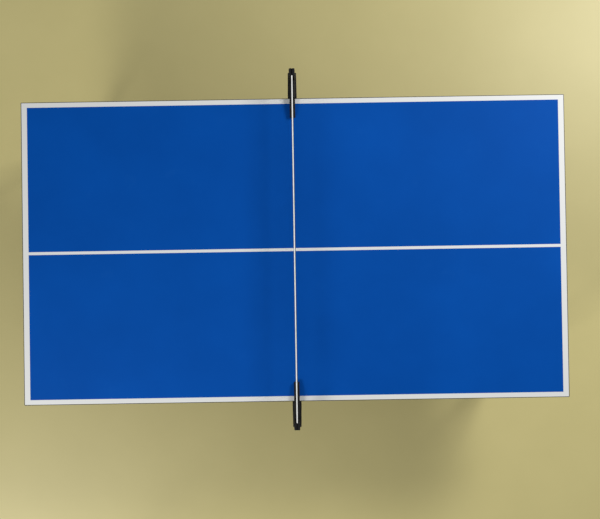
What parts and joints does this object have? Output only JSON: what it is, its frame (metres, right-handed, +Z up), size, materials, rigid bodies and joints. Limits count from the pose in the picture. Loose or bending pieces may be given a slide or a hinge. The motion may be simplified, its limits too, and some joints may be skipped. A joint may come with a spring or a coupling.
{
  "type": "table tennis table",
  "caption": "Full-size table tennis table in two halves, with fold-flat leg frames, levelling feet, wheels and a clamp-on net set.",
  "frame": {"origin": "on the floor under the middle of the net", "axes": "+X along the table towards half b, +Y across the table along the net, +Z up"},
  "size_m": [2.74, 1.785, 0.914],
  "materials": {
    "board": "blue matt paint over medium-density fibreboard, with white lines",
    "edge_band": "thin black edging",
    "frame_steel": "black powder coat",
    "brace_steel": "zinc plated",
    "zinc": "zinc plated",
    "black_plastic": "moulded, fine grain",
    "wheel": "rubber tyre on a grey plastic hub",
    "foot": "rubber pad on a zinc-plated stem",
    "clamp_steel": "black powder coat",
    "clamp_pad": "moulded",
    "clamp_screw": "zinc-plated thread with a black knob",
    "knob": "moulded",
    "netting": "knotted dark netting",
    "tape": "white woven tape",
    "cord": "white braided cord"
  },
  "bodies": {
    "half_a": {"board_a": "board", "edge_band_a": "edge_band", "apron_rails_a": "frame_steel", "cross_rails_a": "frame_steel", "frame_screws_a": "zinc", "corner_caps_a": "black_plastic", "seam_dowel_a": "zinc", "leg_brackets_a": "frame_steel", "pivot_bolts_a": "zinc", "net_clamp_1": "clamp_steel", "clamp_housing_1": "black_plastic", "net_post_1": "black_plastic", "net_clamp_2": "clamp_steel", "clamp_housing_2": "black_plastic", "net_post_2": "black_plastic", "net": "netting", "net_tape": "tape", "net_cord": "cord"},
    "half_b": {"board_b": "board", "edge_band_b": "edge_band", "apron_rails_b": "frame_steel", "cross_rails_b": "frame_steel", "frame_screws_b": "zinc", "corner_caps_b": "black_plastic", "seam_dowel_b": "zinc", "leg_brackets_b": "frame_steel", "pivot_bolts_b": "zinc"},
    "inner_frame_b": {"inner_legs_b": "frame_steel", "inner_leg_plugs_b": "black_plastic", "wheel_axles_b": "zinc"},
    "inner_brace_upper_b": {"inner_brace_upper_b": "brace_steel"},
    "inner_brace_lower_b": {"inner_brace_lower_b": "brace_steel"},
    "wheel_left_b": {"wheel_left_b": "wheel"},
    "wheel_right_b": {"wheel_right_b": "wheel"},
    "outer_frame_b": {"outer_legs_b": "frame_steel", "outer_leg_plugs_b": "black_plastic"},
    "outer_brace_upper_b": {"outer_brace_upper_b": "brace_steel"},
    "outer_brace_lower_b": {"outer_brace_lower_b": "brace_steel"},
    "foot_left_b": {"foot_left_b": "foot"},
    "foot_right_b": {"foot_right_b": "foot"},
    "inner_frame_a": {"inner_legs_a": "frame_steel", "inner_leg_plugs_a": "black_plastic", "wheel_axles_a": "zinc"},
    "inner_brace_upper_a": {"inner_brace_upper_a": "brace_steel"},
    "inner_brace_lower_a": {"inner_brace_lower_a": "brace_steel"},
    "wheel_left_a": {"wheel_left_a": "wheel"},
    "wheel_right_a": {"wheel_right_a": "wheel"},
    "outer_frame_a": {"outer_legs_a": "frame_steel", "outer_leg_plugs_a": "black_plastic"},
    "outer_brace_upper_a": {"outer_brace_upper_a": "brace_steel"},
    "outer_brace_lower_a": {"outer_brace_lower_a": "brace_steel"},
    "foot_left_a": {"foot_left_a": "foot"},
    "foot_right_a": {"foot_right_a": "foot"},
    "clamp_pad_1": {"clamp_pad_1": "clamp_pad"},
    "clamp_screw_1": {"clamp_screw_1": "clamp_screw"},
    "tension_knob_1": {"tension_knob_1": "knob"},
    "clamp_pad_2": {"clamp_pad_2": "clamp_pad"},
    "clamp_screw_2": {"clamp_screw_2": "clamp_screw"},
    "tension_knob_2": {"tension_knob_2": "knob"}
  },
  "joints": [
    {"name": "halves_apart", "type": "slide", "parent": "half_a", "child": "half_b", "axis": [1, 0, 0], "range_m": [0, 0.3]},
    {"name": "inner_fold_b", "type": "hinge", "parent": "half_b", "child": "inner_frame_b", "pos_m": [0.13, 0, 0.687], "axis": [0, -1, 0], "range_deg": [0, 90]},
    {"name": "inner_brace_upper_b_pivot", "type": "hinge", "parent": "half_b", "child": "inner_brace_upper_b", "pos_m": [0.46, 0, 0.687], "axis": [0, -1, 0], "range_deg": [-42.28, 0]},
    {"name": "inner_brace_lower_b_pivot", "type": "hinge", "parent": "inner_frame_b", "child": "inner_brace_lower_b", "pos_m": [0.13, 0, 0.387], "axis": [0, -1, 0], "range_deg": [0, 47.74]},
    {"name": "wheel_left_b_roll", "type": "hinge", "parent": "inner_frame_b", "child": "wheel_left_b", "pos_m": [0.13, -0.589, 0.0375], "axis": [0, 1, 0], "continuous": true},
    {"name": "wheel_right_b_roll", "type": "hinge", "parent": "inner_frame_b", "child": "wheel_right_b", "pos_m": [0.13, 0.589, 0.0375], "axis": [0, 1, 0], "continuous": true},
    {"name": "outer_fold_b", "type": "hinge", "parent": "half_b", "child": "outer_frame_b", "pos_m": [1.18, 0, 0.684], "axis": [0, 1, 0], "range_deg": [0, 90]},
    {"name": "outer_brace_upper_b_pivot", "type": "hinge", "parent": "half_b", "child": "outer_brace_upper_b", "pos_m": [0.85, 0, 0.684], "axis": [0, 1, 0], "range_deg": [-42.28, 0]},
    {"name": "outer_brace_lower_b_pivot", "type": "hinge", "parent": "outer_frame_b", "child": "outer_brace_lower_b", "pos_m": [1.18, 0, 0.384], "axis": [0, 1, 0], "range_deg": [0, 47.74]},
    {"name": "foot_left_b_level", "type": "slide", "parent": "outer_frame_b", "child": "foot_left_b", "axis": [0, 0, 1], "range_m": [-0.012, 0.01]},
    {"name": "foot_right_b_level", "type": "slide", "parent": "outer_frame_b", "child": "foot_right_b", "axis": [0, 0, 1], "range_m": [-0.012, 0.01]},
    {"name": "inner_fold_a", "type": "hinge", "parent": "half_a", "child": "inner_frame_a", "pos_m": [-0.13, 0, 0.687], "axis": [0, 1, 0], "range_deg": [0, 90]},
    {"name": "inner_brace_upper_a_pivot", "type": "hinge", "parent": "half_a", "child": "inner_brace_upper_a", "pos_m": [-0.46, 0, 0.687], "axis": [0, 1, 0], "range_deg": [-42.28, 0]},
    {"name": "inner_brace_lower_a_pivot", "type": "hinge", "parent": "inner_frame_a", "child": "inner_brace_lower_a", "pos_m": [-0.13, 0, 0.387], "axis": [0, 1, 0], "range_deg": [0, 47.74]},
    {"name": "wheel_left_a_roll", "type": "hinge", "parent": "inner_frame_a", "child": "wheel_left_a", "pos_m": [-0.13, 0.589, 0.0375], "axis": [0, -1, 0], "continuous": true},
    {"name": "wheel_right_a_roll", "type": "hinge", "parent": "inner_frame_a", "child": "wheel_right_a", "pos_m": [-0.13, -0.589, 0.0375], "axis": [0, -1, 0], "continuous": true},
    {"name": "outer_fold_a", "type": "hinge", "parent": "half_a", "child": "outer_frame_a", "pos_m": [-1.18, 0, 0.684], "axis": [0, -1, 0], "range_deg": [0, 90]},
    {"name": "outer_brace_upper_a_pivot", "type": "hinge", "parent": "half_a", "child": "outer_brace_upper_a", "pos_m": [-0.85, 0, 0.684], "axis": [0, -1, 0], "range_deg": [-42.28, 0]},
    {"name": "outer_brace_lower_a_pivot", "type": "hinge", "parent": "outer_frame_a", "child": "outer_brace_lower_a", "pos_m": [-1.18, 0, 0.384], "axis": [0, -1, 0], "range_deg": [0, 47.74]},
    {"name": "foot_left_a_level", "type": "slide", "parent": "outer_frame_a", "child": "foot_left_a", "axis": [0, 0, 1], "range_m": [-0.012, 0.01]},
    {"name": "foot_right_a_level", "type": "slide", "parent": "outer_frame_a", "child": "foot_right_a", "axis": [0, 0, 1], "range_m": [-0.012, 0.01]},
    {"name": "clamp_pad_1_travel", "type": "slide", "parent": "half_a", "child": "clamp_pad_1", "axis": [0, 0, -1], "range_m": [0, 0.03]},
    {"name": "clamp_screw_1_turn", "type": "hinge", "parent": "clamp_pad_1", "child": "clamp_screw_1", "pos_m": [0, 0.7175, 0.66], "axis": [0, 0, 1], "range_deg": [0, 7200]},
    {"name": "tension_knob_1_turn", "type": "hinge", "parent": "half_a", "child": "tension_knob_1", "pos_m": [0, 0.892, 0.852], "axis": [0, 1, 0], "range_deg": [-180, 720]},
    {"name": "clamp_pad_2_travel", "type": "slide", "parent": "half_a", "child": "clamp_pad_2", "axis": [0, 0, -1], "range_m": [0, 0.03]},
    {"name": "clamp_screw_2_turn", "type": "hinge", "parent": "clamp_pad_2", "child": "clamp_screw_2", "pos_m": [0, -0.7175, 0.66], "axis": [0, 0, 1], "range_deg": [0, 7200]},
    {"name": "tension_knob_2_turn", "type": "hinge", "parent": "half_a", "child": "tension_knob_2", "pos_m": [0, -0.892, 0.852], "axis": [0, -1, 0], "range_deg": [-180, 720]}
  ],
  "couplings": [
    {"joint": "inner_brace_upper_b_pivot", "follows": "inner_fold_b", "ratio": -0.46971},
    {"joint": "inner_brace_lower_b_pivot", "follows": "inner_fold_b", "ratio": 0.53029},
    {"joint": "outer_brace_upper_b_pivot", "follows": "outer_fold_b", "ratio": -0.46971},
    {"joint": "outer_brace_lower_b_pivot", "follows": "outer_fold_b", "ratio": 0.53029},
    {"joint": "inner_brace_upper_a_pivot", "follows": "inner_fold_a", "ratio": -0.46971},
    {"joint": "inner_brace_lower_a_pivot", "follows": "inner_fold_a", "ratio": 0.53029},
    {"joint": "outer_brace_upper_a_pivot", "follows": "outer_fold_a", "ratio": -0.46971},
    {"joint": "outer_brace_lower_a_pivot", "follows": "outer_fold_a", "ratio": 0.53029},
    {"joint": "clamp_pad_1_travel", "follows": "clamp_screw_1_turn", "m_per_rad": 0.00023873},
    {"joint": "clamp_pad_2_travel", "follows": "clamp_screw_2_turn", "m_per_rad": 0.00023873}
  ]
}
